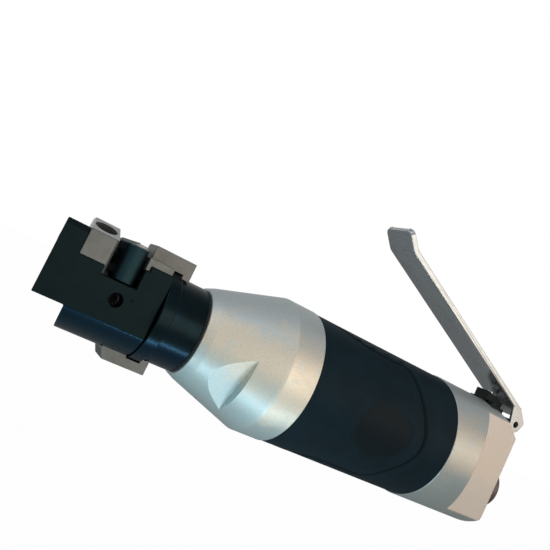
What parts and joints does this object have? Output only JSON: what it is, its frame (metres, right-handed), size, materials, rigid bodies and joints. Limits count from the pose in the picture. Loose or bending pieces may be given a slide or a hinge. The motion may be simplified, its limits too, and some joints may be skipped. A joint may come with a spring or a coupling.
{
  "type": "pneumatic hole punch",
  "caption": "Straight hand-held air tool: a squeeze lever drives a ram that closes a small jaw and punch on a die in a swivelling head, to punch holes in sheet metal.",
  "frame": {"origin": "centre of the air inlet's mouth", "axes": "+X out of the air inlet along the tool, +Z towards the lever, -Y the side of the head with the slug chute"},
  "size_m": [0.1868, 0.045, 0.085],
  "materials": {
    "satin_alloy": "satin, fine turned marks",
    "grip_rubber": "matt moulded rubber",
    "seal_rubber": "matt",
    "blued_steel": "blued, half gloss",
    "satin_steel": "satin ground",
    "black_steel": "black, half gloss",
    "machined_steel": "machined",
    "piston_alloy": "machined",
    "spring_steel": "drawn wire",
    "brass": "machined"
  },
  "bodies": {
    "body": {"nose_housing": "satin_alloy", "neck_sleeve": "blued_steel", "neck_seal": "seal_rubber", "barrel": "machined_steel", "barrel_seals": "seal_rubber", "grip_sleeve": "grip_rubber", "separator": "piston_alloy", "separator_seals": "seal_rubber", "separator_rings": "machined_steel", "rear_housing": "satin_alloy", "inlet_bushing": "machined_steel", "inlet_screen": "brass", "lever_bracket": "black_steel", "bracket_screws": "black_steel", "lever_pin": "black_steel", "valve_bushing": "brass", "valve_bushing_seal": "seal_rubber", "valve_spring": "spring_steel", "return_spring": "spring_steel"},
    "head": {"head_frame": "blued_steel", "die_insert": "satin_steel", "die_screws": "black_steel", "stop_plate": "satin_steel", "top_clamp": "satin_steel", "bottom_clamp": "satin_steel", "clamp_screws": "black_steel"},
    "ram": {"ram": "machined_steel", "piston_rod": "machined_steel", "piston_nut": "machined_steel", "front_piston": "piston_alloy", "rear_piston": "piston_alloy", "piston_spacer": "machined_steel", "piston_seals": "seal_rubber", "moving_jaw": "black_steel", "jaw_screw": "black_steel", "punch_pin": "machined_steel"},
    "lever": {"lever": "satin_steel"},
    "throttle": {"throttle_stem": "machined_steel", "stem_seal": "seal_rubber"}
  },
  "joints": [
    {"name": "head_swivel", "type": "hinge", "parent": "body", "child": "head", "pos_m": [-0.1515, 0, 0.007], "axis": [1, 0, 0], "continuous": true},
    {"name": "ram_slide", "type": "slide", "parent": "head", "child": "ram", "axis": [-1, 0, 0], "range_m": [0, 0.0023], "stiffness_N_per_m": 4000, "springref_m": -0.015, "deforming": ["return_spring"]},
    {"name": "lever_hinge", "type": "hinge", "parent": "body", "child": "lever", "pos_m": [-0.0055, 0, 0.0263], "axis": [0, -1, 0], "range_deg": [0, 9], "stiffness_Nm_per_rad": 0.4, "springref_deg": -11.46},
    {"name": "throttle_slide", "type": "slide", "parent": "body", "child": "throttle", "axis": [0, 0, -1], "range_m": [0, 0.002], "deforming": ["valve_spring"]}
  ],
  "couplings": [
    {"joint": "throttle_slide", "follows": "lever_hinge", "m_per_rad": 0.0122}
  ]
}
